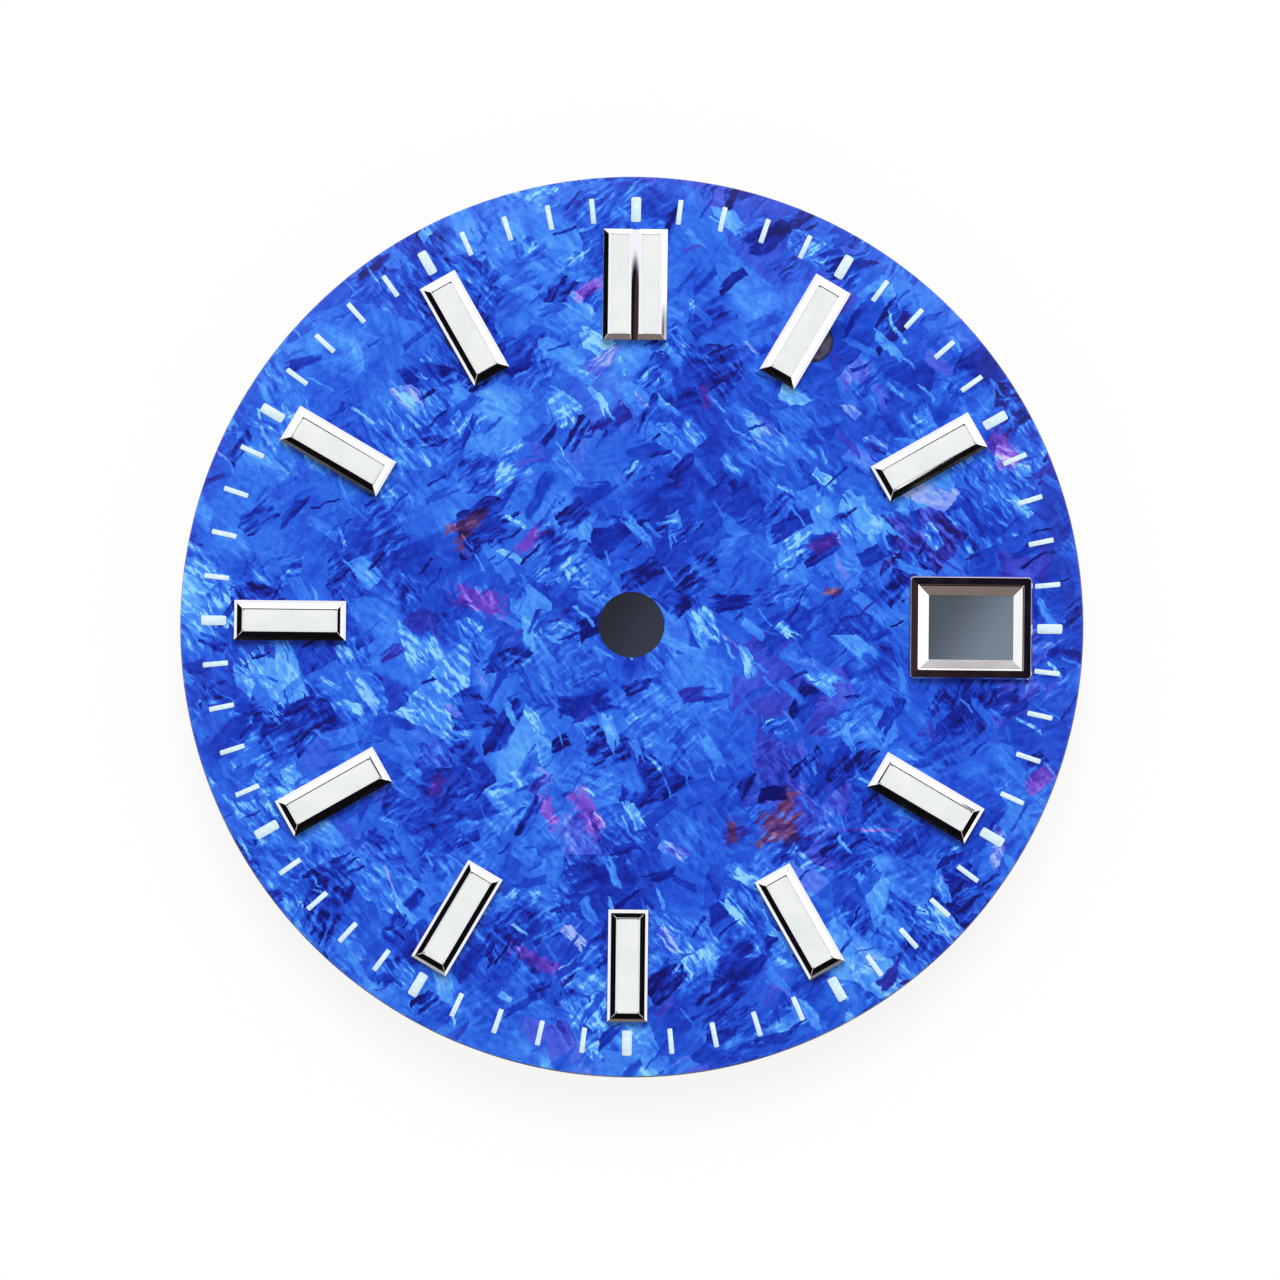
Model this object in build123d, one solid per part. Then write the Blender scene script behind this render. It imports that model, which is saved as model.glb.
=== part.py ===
from build123d import *
import os

# A watch dial for an automatic movement with a date window at three.
# The origin is the middle of the dial on the back of the base plate, where it
# seats on the movement. +Z looks out of the face, +Y points to twelve and
# +X to three. All lengths are in millimetres.

os.makedirs("parts", exist_ok=True)

# Plates
dial_radius = 14.25
base_thickness = 0.40
face_thickness = 0.15
face_setback = 0.02
face_edge_chamfer = 0.04
centre_hole_radius = 1.04

# Minute track: sixty printed marks, the twelve on the hours wider
mark_count = 60
marks_per_hour = 5
rim_to_track = 0.67
mark_length = 0.80
minute_mark_width = 0.16
hour_mark_width = 0.31
ink_thickness = 0.03
mark_corner_share = 0.2

# Applied markers: a low wall, a narrow land, a polished facet and a thin rim
# round the pocket that holds the luminous fill
hour_count = 12
date_hour = 3
double_hour = 12
track_to_marker = 0.25
marker_wall_height = 0.30
land_width = 0.05
land_rise = 0.015
facet_width = 0.165
facet_rise = 0.10
pocket_rim = 0.035
pocket_width = 0.77
pocket_length = 3.03
pocket_depth = 0.20
pocket_corner_radius = 0.06

# Double marker at twelve: two pockets either side of a V groove
double_pocket_width = 0.52
double_pocket_rim = 0.10
double_side_facet = 0.125
groove_width = 0.24

# Luminous fill: its crest stands a little over the rim, its edges under it
fill_clearance = 0.01
fill_edge_drop = 0.03
fill_crown = 0.045

# Posts under the markers, with a dot of adhesive in the back of each hole
post_radius = 0.18
post_end_margin = 0.30
post_clearance = 0.02
dot_lip = 0.10
dot_thickness = 0.06
dot_clearance = 0.01

# Date frame: an outer chamfer, a flat top and a bevel down to the window,
# with a skirt that lines the window through both plates
track_to_frame = 0.155
window_width = 2.66
window_height = 2.03
frame_bevel_width = 0.335
frame_bevel_depth = 0.125
frame_flat_width = 0.22
frame_chamfer = 0.05
frame_height = 0.30
frame_corner_radius = 0.14
skirt_wall = 0.15
skirt_clearance = 0.02
skirt_corner_radius = 0.05
skirt_back_setback = 0.03
frame_post_radius = 0.12
frame_post_inset = 0.26

# Dial feet: rivets whose heads lie in the face, partly under four markers
foot_hours = (1, 5, 7, 11)
foot_turns = {1: 1.9, 5: 0.0, 7: 0.0, 11: -0.3}
foot_inset = 0.13
foot_head_radius = 0.65
foot_head_clearance = 0.01
foot_head_sink = 0.02
foot_seat_radius = 0.56
foot_seat_clearance = 0.02
foot_shank_radius = 0.375
foot_length = 1.90
foot_tip_chamfer = 0.10

# One overrun for every cut that goes right through
overrun = 0.5

# Worked out from the sizes above
face_top = base_thickness + face_thickness
track_outer_radius = dial_radius - rim_to_track
track_inner_radius = track_outer_radius - mark_length
mark_radius = track_outer_radius - mark_length / 2
marker_rise = marker_wall_height + land_rise + facet_rise
marker_border = land_width + facet_width + pocket_rim
marker_width = pocket_width + 2 * marker_border
marker_length = pocket_length + 2 * marker_border
double_side = land_width + double_side_facet + double_pocket_rim
double_width = 2 * (double_side + double_pocket_width + double_pocket_rim) + groove_width
marker_radius = track_inner_radius - track_to_marker - marker_length / 2
post_offset = marker_length / 2 - post_end_margin
foot_radius = marker_radius - foot_inset
frame_border = frame_chamfer + frame_flat_width + frame_bevel_width
frame_width = window_width + 2 * frame_border
frame_length = window_height + 2 * frame_border
frame_radius = track_inner_radius - track_to_frame - frame_width / 2
marker_hours = [h for h in range(1, hour_count + 1) if h != date_hour]


def hour_angle(hour):
    """Turn about Z, in degrees, that carries something from twelve to an hour."""
    return -hour * 360 / hour_count


def at_hour(hour, radius, height, turn=0.0):
    """Place on the dial at an hour, with local +Y pointing outwards."""
    return Rot(0, 0, hour_angle(hour) - turn) * Pos(0, radius, height)


def rounded_bar(width, length, corner, bottom, top):
    """A flat bar between two heights with its four upright corners rounded."""
    outline = RectangleRounded(width, length, corner)
    return Pos(0, 0, bottom) * extrude(outline, amount=top - bottom)


def disc(radius, bottom, top):
    """A round disc or pin between two heights."""
    return Pos(0, 0, bottom) * extrude(Circle(radius), amount=top - bottom)


def marker_post_places():
    """Where every post under the markers goes through the plates."""
    places = []
    for hour in marker_hours:
        for side in (-1, 1):
            places.append(at_hour(hour, marker_radius + side * post_offset, 0))
    return places


def frame_post_points():
    """The four frame posts, measured from the middle of the frame."""
    reach_x = frame_width / 2 - frame_post_inset
    reach_y = frame_length / 2 - frame_post_inset
    return [(x * reach_x, y * reach_y) for x in (-1, 1) for y in (-1, 1)]


def frame_post_places():
    """Where the frame's posts go through the plates."""
    return [Pos(frame_radius + x, y, 0) for x, y in frame_post_points()]


def foot_places():
    """Where the feet go through the plates, by hour."""
    return {hour: at_hour(hour, foot_radius, 0, foot_turns[hour]) for hour in foot_hours}


def plate_cuts(bottom, top):
    """What both plates have cut out of them: hole, window and post holes."""
    low = bottom - overrun
    high = top + overrun
    cuts = [disc(centre_hole_radius, low, high)]
    skirt_width = window_width + 2 * (skirt_wall + skirt_clearance)
    skirt_length = window_height + 2 * (skirt_wall + skirt_clearance)
    corner = skirt_corner_radius + skirt_clearance
    window = rounded_bar(skirt_width, skirt_length, corner, low, high)
    cuts.append(Pos(frame_radius, 0, 0) * window)
    for place in marker_post_places():
        cuts.append(place * disc(post_radius + post_clearance, low, high))
    for place in frame_post_places():
        cuts.append(place * disc(frame_post_radius + post_clearance, low, high))
    return cuts


def dots(clearance, bottom):
    """The adhesive over the end of each post, or the seats that it fills."""
    lip = dot_lip + clearance
    marker_dot = disc(post_radius + lip, bottom, dot_thickness)
    frame_dot = disc(frame_post_radius + lip, bottom, dot_thickness)
    shapes = [place * marker_dot for place in marker_post_places()]
    return shapes + [place * frame_dot for place in frame_post_places()]


def make_base_plate():
    """The brass blank, with a shallow seat for each adhesive dot at the back."""
    plate = disc(dial_radius, 0, base_thickness)
    cuts = plate_cuts(0, base_thickness) + dots(dot_clearance, -overrun)
    for place in foot_places().values():
        hole = disc(foot_seat_radius + foot_seat_clearance, -overrun, base_thickness + overrun)
        cuts.append(place * hole)
    return plate - cuts


def make_flake_face():
    """The decorative sheet that is bonded to the front of the base plate."""
    sheet = disc(dial_radius - face_setback, base_thickness, face_top)
    sheet = chamfer(sheet.edges().group_by(Axis.Z)[-1], face_edge_chamfer)
    cuts = plate_cuts(base_thickness, face_top)
    for place in foot_places().values():
        seat = disc(foot_head_radius + foot_head_clearance, base_thickness - overrun, face_top + overrun)
        cuts.append(place * seat)
    return sheet - cuts


def make_mark(width):
    """One printed mark, lying along Y on the face."""
    corner = width * mark_corner_share
    return rounded_bar(width, mark_length, corner, face_top, face_top + ink_thickness)


def make_marks(on_the_hour):
    """The hour marks or the marks between them, as separate prints."""
    width = hour_mark_width if on_the_hour else minute_mark_width
    mark = Pos(0, mark_radius, 0) * make_mark(width)
    chosen = [i for i in range(mark_count) if (i % marks_per_hour == 0) == on_the_hour]
    return Compound([Rot(0, 0, -i * 360 / mark_count) * mark for i in chosen])


def bar_profile(half_width, side_facet):
    """Left half of a marker's section: wall, land and facet, bottom to top."""
    wall_x = -half_width
    land_x = wall_x + land_width
    top_x = land_x + side_facet
    land_z = marker_wall_height + land_rise
    return [(wall_x, 0), (wall_x, marker_wall_height), (land_x, land_z), (top_x, marker_rise)]


def mirrored(points):
    """The same points on the right side, top to bottom."""
    return [(-x, z) for x, z in reversed(points)]


def faceted_bar(cross_points, length):
    """A bar of one section whose two ends slope like its sides."""
    reach = length + overrun
    cross = extrude(Plane.XZ * make_face(Polyline(*cross_points, close=True)), amount=reach, both=True)
    end_half = bar_profile(length / 2, facet_width)
    end_points = end_half + mirrored(end_half)
    along = extrude(Plane.YZ * make_face(Polyline(*end_points, close=True)), amount=reach, both=True)
    return cross & along


def pocket_cut(width):
    """The pocket for the luminous fill, open at the top."""
    floor = marker_rise - pocket_depth
    return rounded_bar(width, pocket_length, pocket_corner_radius, floor, marker_rise + overrun)


def marker_posts():
    """The two posts under a marker, reaching to the adhesive at the back."""
    post = disc(post_radius, dot_thickness - face_top, 0)
    return [Pos(0, side * post_offset, 0) * post for side in (-1, 1)]


def make_single_marker():
    """One baton marker, standing on the face at z = 0 and lying along Y."""
    half = bar_profile(marker_width / 2, facet_width)
    bar = faceted_bar(half + mirrored(half), marker_length)
    return (bar - pocket_cut(pocket_width)) + marker_posts()


def double_pocket_offset():
    """How far each pocket of the double marker lies from its middle."""
    return groove_width / 2 + double_pocket_rim + double_pocket_width / 2


def make_double_marker():
    """The marker at twelve: two batons in one piece, with a groove down to the wall's top."""
    half = bar_profile(double_width / 2, double_side_facet)
    groove = [(-groove_width / 2, marker_rise), (0, marker_wall_height), (groove_width / 2, marker_rise)]
    bar = faceted_bar(half + groove + mirrored(half), marker_length)
    offset = double_pocket_offset()
    pockets = [Pos(side * offset, 0, 0) * pocket_cut(double_pocket_width) for side in (-1, 1)]
    return (bar - pockets) + marker_posts()


def make_fill(pocket_width_here):
    """Luminous fill for one pocket, crowned across its width."""
    half = pocket_width_here / 2 - fill_clearance
    floor = marker_rise - pocket_depth
    edge = marker_rise - fill_edge_drop
    sides = Polyline((half, edge), (half, floor), (-half, floor), (-half, edge))
    crown = ThreePointArc((-half, edge), (0, edge + fill_crown), (half, edge))
    reach = pocket_length / 2 - fill_clearance
    body = extrude(Plane.XZ * make_face([sides, crown]), amount=reach, both=True)
    corner = pocket_corner_radius - fill_clearance
    limit = rounded_bar(2 * half, 2 * reach, corner, 0, marker_rise + overrun)
    return body & limit


def make_fills(hour):
    """The fill or pair of fills of one marker, still at the middle of the dial."""
    if hour != double_hour:
        return [make_fill(pocket_width)]
    fill = make_fill(double_pocket_width)
    return [Pos(side * double_pocket_offset(), 0, 0) * fill for side in (-1, 1)]


def make_date_frame():
    """The applied frame round the date window, standing on the face."""
    ring = rounded_bar(frame_width, frame_length, frame_corner_radius, 0, frame_height)
    ring = chamfer(ring.edges().group_by(Axis.Z)[-1], frame_chamfer)
    skirt_bottom = skirt_back_setback - face_top
    skirt_size = (window_width + 2 * skirt_wall, window_height + 2 * skirt_wall)
    skirt = rounded_bar(*skirt_size, skirt_corner_radius, skirt_bottom, 0)
    posts = [Pos(x, y, 0) * disc(frame_post_radius, dot_thickness - face_top, 0) for x, y in frame_post_points()]
    bevel_foot = frame_height - frame_bevel_depth
    window = Pos(0, 0, skirt_bottom - overrun) * extrude(
        Rectangle(window_width, window_height), amount=bevel_foot - skirt_bottom + 2 * overrun)
    wide = 2 * frame_bevel_width
    low_edge = Pos(0, 0, bevel_foot) * Rectangle(window_width, window_height)
    high_edge = Pos(0, 0, frame_height) * Rectangle(window_width + wide, window_height + wide)
    bevel = loft([low_edge, high_edge], ruled=True)
    frame = (ring + skirt + posts) - window - bevel
    return Pos(frame_radius, 0, face_top) * frame


def make_foot():
    """One riveted foot: head in the face, seat in the base, shank below it."""
    head = disc(foot_head_radius, base_thickness, face_top - foot_head_sink)
    seat = disc(foot_seat_radius, 0, base_thickness)
    shank = disc(foot_shank_radius, -foot_length, 0)
    shank = chamfer(shank.edges().group_by(Axis.Z)[0], foot_tip_chamfer)
    return head + seat + shank


def make_dots():
    """The adhesive that locks each post, flush with the back of the base."""
    return Compound(dots(0, 0))


def save(shape, name):
    """Write one node."""
    export_step(shape, f"parts/{name}.step")


save(make_base_plate(), "base_plate")
save(make_flake_face(), "flake_face")
save(make_marks(False), "minute_marks")
save(make_marks(True), "hour_marks")
save(make_date_frame(), "date_frame")
save(make_dots(), "adhesive_dots")

for hour in marker_hours:
    place = at_hour(hour, marker_radius, face_top)
    marker = make_double_marker() if hour == double_hour else make_single_marker()
    save(place * marker, f"marker_{hour:02d}")
    fills = [place * fill for fill in make_fills(hour)]
    save(Compound(fills) if len(fills) > 1 else fills[0], f"lume_{hour:02d}")

for hour, place in foot_places().items():
    save(place * make_foot(), f"dial_foot_{hour:02d}")
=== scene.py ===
import math
import bmesh
import bpy
from mathutils import Matrix, Vector


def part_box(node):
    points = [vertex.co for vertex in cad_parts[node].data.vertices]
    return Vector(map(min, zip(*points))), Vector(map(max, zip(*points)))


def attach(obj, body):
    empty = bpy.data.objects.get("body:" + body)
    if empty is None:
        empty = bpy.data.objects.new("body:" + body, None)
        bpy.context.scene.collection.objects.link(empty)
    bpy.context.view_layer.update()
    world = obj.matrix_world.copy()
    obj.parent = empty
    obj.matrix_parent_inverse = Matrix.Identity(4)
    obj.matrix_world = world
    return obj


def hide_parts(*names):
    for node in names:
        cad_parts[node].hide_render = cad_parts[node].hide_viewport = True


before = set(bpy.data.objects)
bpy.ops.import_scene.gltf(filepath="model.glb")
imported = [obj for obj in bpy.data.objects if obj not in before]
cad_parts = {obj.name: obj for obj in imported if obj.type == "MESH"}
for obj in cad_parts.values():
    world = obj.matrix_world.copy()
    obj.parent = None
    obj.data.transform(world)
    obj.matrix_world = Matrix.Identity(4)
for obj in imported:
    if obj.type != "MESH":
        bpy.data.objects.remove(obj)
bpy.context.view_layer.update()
scene = bpy.context.scene
mm = 0.001  # every mesh here is made in millimetres and shrunk to metres at the end
print("frame loaded")


# Main sizes, read from the frame
def nodeBox(node):
    low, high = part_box(node)
    return low / mm, high / mm


def nodeSize(node):
    low, high = nodeBox(node)
    return high - low


hourTurn = math.radians(-30)
minuteTurn = hourTurn / 5
markerHours = [1, 2, 4, 5, 6, 7, 8, 9, 10, 11, 12]
doubleHour = 12
footHours = [1, 5, 7, 11]
dialRadius = nodeSize("base_plate").x / 2
sheetRadius = nodeSize("flake_face").x / 2
baseTop = nodeBox("flake_face")[0].z
faceTop = nodeBox("flake_face")[1].z
markerTop = nodeBox("marker_12")[1].z - faceTop
markerRadius = (nodeBox("marker_12")[0].y + nodeBox("marker_12")[1].y) / 2
markerWidth = nodeSize("marker_06").x
markerLength = nodeSize("marker_06").y
doubleWidth = nodeSize("marker_12").x
mirror = Matrix.Diagonal((-1, 1, 1, 1))


def atHour(hour, radius=0.0, height=0.0):
    # place on the dial at an hour, local +Y pointing outwards
    return Matrix.Rotation(hour * hourTurn, 4, "Z") @ Matrix.Translation((0, radius, height))


# Shader helpers
class Wire:
    # a socket that adds Math or Vector Math nodes when it is used in a sum
    def __init__(self, graph, socket):
        self.graph = graph
        self.socket = socket
        self.wide = socket.type in {"VECTOR", "RGBA"}

    def sum(self, operation, other=None, swap=False):
        wide = self.wide or getattr(other, "wide", False)
        kind = "ShaderNodeVectorMath" if wide else "ShaderNodeMath"
        sides = [self] if other is None else [self, other]
        if wide:
            sides = [(s, s, s) if isinstance(s, (int, float)) else s for s in sides]
        if swap:
            sides.reverse()
        return self.graph.node(kind, {"operation": operation}, dict(enumerate(sides)))[0]

    def __add__(self, other):
        return self.sum("ADD", other)

    def __radd__(self, other):
        return self.sum("ADD", other, swap=True)

    def __sub__(self, other):
        return self.sum("SUBTRACT", other)

    def __rsub__(self, other):
        return self.sum("SUBTRACT", other, swap=True)

    def __mul__(self, other):
        return self.sum("MULTIPLY", other)

    def __rmul__(self, other):
        return self.sum("MULTIPLY", other, swap=True)

    def __truediv__(self, other):
        return self.sum("DIVIDE", other)

    def __abs__(self):
        return self.sum("ABSOLUTE")

    def __lt__(self, other):
        return self.sum("LESS_THAN", other)

    def largest(self, other):
        return self.sum("MAXIMUM", other)

    def smallest(self, other):
        return self.sum("MINIMUM", other)


class Outlets:
    # the outputs of one node, by place or by name
    def __init__(self, graph, made):
        self.graph = graph
        self.made = made

    def __getitem__(self, key):
        return Wire(self.graph, self.made.outputs[key])

    def feed(self, sockets):
        for key, value in sockets.items():
            if isinstance(value, Wire):
                self.graph.tree.links.new(value.socket, self.made.inputs[key])
            else:
                self.made.inputs[key].default_value = value


class Graph:
    # the node tree of one finish
    def __init__(self, tree):
        self.tree = tree
        tree.nodes.clear()

    def node(self, kind, settings=None, sockets=None):
        made = self.tree.nodes.new(kind)
        for key, value in (settings or {}).items():
            if key == "stops":
                self.setStops(made.color_ramp, value)
            else:
                setattr(made, key, value)
        outlets = Outlets(self, made)
        outlets.feed(sockets or {})
        return outlets

    def setStops(self, ramp, stops):
        while len(ramp.elements) > 1:
            ramp.elements.remove(ramp.elements[-1])
        ramp.elements[0].position = stops[0][0]
        ramp.elements[0].color = stops[0][1]
        for place, colour in stops[1:]:
            ramp.elements.new(place).color = colour

    def point(self, size=1.0):
        # Object coordinates in millimetres, divided by a size
        place = self.node("ShaderNodeTexCoord")["Object"]
        return place * (1 / (mm * size))

    def stretched(self, vector, scale, turn=0.0, shift=(0, 0, 0)):
        values = {"Vector": vector, "Location": shift, "Rotation": (0, 0, turn), "Scale": scale}
        return self.node("ShaderNodeMapping", {}, values)[0]

    def turned(self, vector, angle):
        # turned before it is stretched, which a Mapping node does the other way round
        settings = {"rotation_type": "Z_AXIS"}
        return self.node("ShaderNodeVectorRotate", settings, {"Vector": vector, "Angle": angle})[0]

    def noise(self, vector, scale, detail=2.0, roughness=0.5, space="3D", swirl=0.0):
        values = {"Vector": vector, "Scale": scale, "Detail": detail, "Roughness": roughness,
                  "Distortion": swirl}
        return self.node("ShaderNodeTexNoise", {"noise_dimensions": space}, values)

    def parts(self, vector):
        return self.node("ShaderNodeSeparateXYZ", {}, {0: vector})

    def soften(self, value, low, high, bottom=0.0, top=1.0):
        # bottom under low, top over high, smooth between
        settings = {"interpolation_type": "SMOOTHSTEP"}
        values = {"Value": value, "From Min": low, "From Max": high, "To Min": bottom, "To Max": top}
        return self.node("ShaderNodeMapRange", settings, values)[0]

    def blend(self, factor, first, second):
        settings = {"data_type": "RGBA", "blend_type": "MIX"}
        return self.node("ShaderNodeMix", settings, {0: factor, 6: first, 7: second})[2]

    def grade(self, value, stops):
        return self.node("ShaderNodeValToRGB", {"stops": stops}, {0: value})[0]

    def bump(self, height, depth, strength=1.0):
        values = {"Height": height, "Distance": depth * mm, "Strength": strength}
        return self.node("ShaderNodeBump", {}, values)[0]

    def surface(self, shader):
        self.node("ShaderNodeOutputMaterial", {}, {"Surface": shader})

    def glowing(self, colour, share):
        # a matt colour with a share of it as its own light
        matt = self.node("ShaderNodeBsdfDiffuse", {}, {"Color": colour})
        glow = self.node("ShaderNodeEmission", {}, {"Color": colour, "Strength": 1.0})
        self.surface(self.node("ShaderNodeMixShader", {}, {0: share, 1: matt[0], 2: glow[0]})[0])


def rgb(red, green, blue):
    # a colour read in 0 to 255, as the shader's linear values
    parts = [c / 255 for c in (red, green, blue)]
    return tuple(c / 12.92 if c <= 0.04045 else ((c + 0.055) / 1.055) ** 2.4 for c in parts) + (1.0,)


def blankFinish(name):
    # a material with no nodes yet
    material = bpy.data.materials.new(name)
    material.use_nodes = True
    return material, Graph(material.node_tree)


def newFinish(name, look):
    # a material with one Principled shader, set to a plain look
    material, g = blankFinish(name)
    shader = g.node("ShaderNodeBsdfPrincipled", {}, look)
    g.surface(shader[0])
    return material, g, shader


# Flake face: torn, overlapping flakes of blue foil under clear lacquer
flakes = {
    # scatters of flakes: size in mm, turn in radians and comb in marks per mm; the rest are shares of a
    # cell or of the tone scale
    "columns": ("size", "turn", "cover", "long", "wide", "dark", "light", "hatch", "comb"),
    "layers": [(3.2, 0.3, 1.0, 0.60, 0.50, 0.22, 0.60, 0.10, 4.0),
               (2.4, 1.1, 0.80, 0.62, 0.40, 0.08, 0.80, 0.12, 4.0),
               (1.8, 2.0, 0.85, 0.62, 0.30, 0.04, 0.84, 0.20, 5.0),
               (1.3, 0.7, 0.85, 0.62, 0.22, 0.00, 0.88, 0.24, 5.0),
               (1.0, 1.6, 0.80, 0.62, 0.15, 0.00, 0.86, 0.26, 6.0),
               (0.75, 2.7, 0.70, 0.60, 0.06, -0.04, 0.86, 0.10, 6.0)],
    "layerShift": (7.3, 3.1),
    "seedStep": 0.37,
    "solid": 0.86,
    # the two ways that most flakes lie, in radians, which of them is chosen where, and how far they stray
    "slants": (0.65, 2.30),
    "slantRoll": 0.7,
    "slantOver": 0.82,
    "slantSpread": 1.0,
    "driftBlend": (0.46, 0.54),
    # a flake's random length and width as a slope and a start, and how its grain frays the ends and sides
    "lengths": (0.5, 0.7),
    "widths": (0.8, 0.6),
    "frayed": (2.4, 0.6),
    "blur": (0.35, 0.04),
    "coverEdge": 1.25,
    "grainLong": 1.2,
    "grainShift": 9.0,
    "grainTone": 0.40,
    "combLight": (0.54, 0.66),
    "combDark": (0.34, 0.46),
    "hatched": (0.4, 1.0),
    # noises as scale per mm, detail and roughness
    "grainNoise": (1.0, 2.0, 0.55),
    "tearNoise": (1.8, 4.0, 0.62),
    "broadNoise": (0.3, 2.0, 0.5),
    "driftNoise": (0.16, 1.0, 0.5),
    "fineNoise": (5.0, 1.0, 0.6),
    "wrinkleNoise": (4.0, 2.0, 0.6),
    "strokeNoise": (1.0, 2.0, 0.6),
    "driftShift": 5.0,
    "tear": 0.26,
    # crumpled flakes: strokes along the slant, with painted highlights on the ridges and painted shade in
    # the gullies
    "strokeScale": (1.4, 7.0, 1.0),
    "strokeSwirl": 0.1,
    "ridge": (0.52, 0.66),
    "gully": (0.34, 0.48),
    "ridgeTone": 0.26,
    "gullyTone": 0.16,
    "crumpled": (0.45, 0.95),
    "fineTone": 0.16,
    "broadStart": 0.9,
    "broadTone": 0.3,
    "contrast": 1.15,
    "lift": -0.04,
    "violetFrom": (0.80, 0.96),
    "violetShare": 0.65,
    "brushScale": (1.6, 7.0, 1.0),
    "spotFray": 2.0,
    "spotEdge": (0.75, 1.05),
    "spotShare": 0.75,
    "roughness": (0.3, 0.5),
    "wrinkleSwirl": 0.2,
    "wrinkleBump": (0.03, 0.4),
    "blues": [(0.0, (8, 14, 104)), (0.12, (12, 32, 154)), (0.28, (20, 57, 190)),
              (0.45, (32, 83, 218)), (0.60, (46, 109, 236)), (0.76, (66, 139, 249)),
              (0.90, (92, 171, 255)), (1.0, (145, 214, 255))],
    "violets": [(0.0, (26, 12, 88)), (0.28, (50, 42, 165)), (0.5, (74, 72, 214)),
                (0.76, (100, 114, 240)), (1.0, (176, 172, 250))],
    "pinks": [(0.0, (36, 16, 110)), (0.3, (74, 34, 160)), (0.55, (124, 62, 204)),
              (0.8, (186, 116, 240)), (1.0, (236, 190, 255))],
    "coppers": [(0.0, (34, 12, 50)), (0.3, (82, 34, 56)), (0.55, (134, 70, 78)),
                (0.8, (208, 142, 146)), (1.0, (250, 214, 210))],
    # broad soft areas: middle in mm, half length, half width, slant in degrees, lift
    "areas": [(-8.3, -2.1, 5.0, 1.7, 38, 0.20), (-5.1, 4.9, 1.8, 1.3, 30, 0.18),
              (1.8, 8.7, 2.2, 1.6, -40, 0.18), (3.1, 4.3, 2.0, 1.2, -45, 0.14),
              (1.2, -2.6, 2.8, 1.6, -30, 0.16), (6.8, -1.8, 2.0, 1.3, 50, 0.14),
              (-7.6, -10.4, 2.2, 1.4, 40, 0.14), (9.6, -8.7, 2.0, 1.4, 30, 0.10),
              (-10.4, 6.4, 2.0, 1.4, 45, 0.12), (-12.2, -0.8, 1.4, 2.2, 10, -0.18),
              (7.8, 10.0, 2.4, 1.5, -30, -0.16), (-1.2, 2.9, 1.8, 0.9, -25, -0.16),
              (4.4, -3.4, 1.4, 1.8, 20, -0.20), (-0.8, -7.2, 2.0, 1.3, 60, -0.16),
              (8.6, -5.0, 1.8, 1.2, -20, -0.10), (-2.4, -11.2, 2.2, 1.1, 20, -0.12),
              (11.6, 2.6, 1.3, 2.0, 0, -0.10)],
    "areaEdge": (0.3, 1.3),
    # odd flakes of another colour: middle in mm, half length, half width, slant in degrees
    "pinkSpots": [(-4.80, 0.70, 0.85, 0.34, -14), (-1.32, -5.93, 0.80, 0.30, -60),
                  (-2.55, -5.9, 0.50, 0.22, -70), (-6.07, -5.20, 0.35, 0.22, 60),
                  (-2.90, -10.60, 0.80, 0.22, -25), (12.90, -4.77, 0.50, 0.30, 40),
                  (11.65, 5.67, 0.60, 0.36, -60), (-1.48, 10.60, 0.55, 0.20, 30),
                  (2.25, 7.29, 0.40, 0.14, -70), (7.69, -6.40, 1.00, 0.04, 1),
                  (-3.3, 2.6, 0.6, 0.18, 45), (6.1, 2.6, 0.5, 0.2, 30)],
    "copperSpots": [(4.75, -6.35, 0.62, 0.50, 4), (5.0, -5.5, 0.24, 0.40, -20),
                    (3.27, -6.50, 0.16, 0.42, 3), (-5.20, 3.18, 0.60, 0.20, 30),
                    (6.27, 1.13, 0.26, 0.12, 10), (-5.4, 2.7, 0.2, 0.36, -20)],
}


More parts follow.
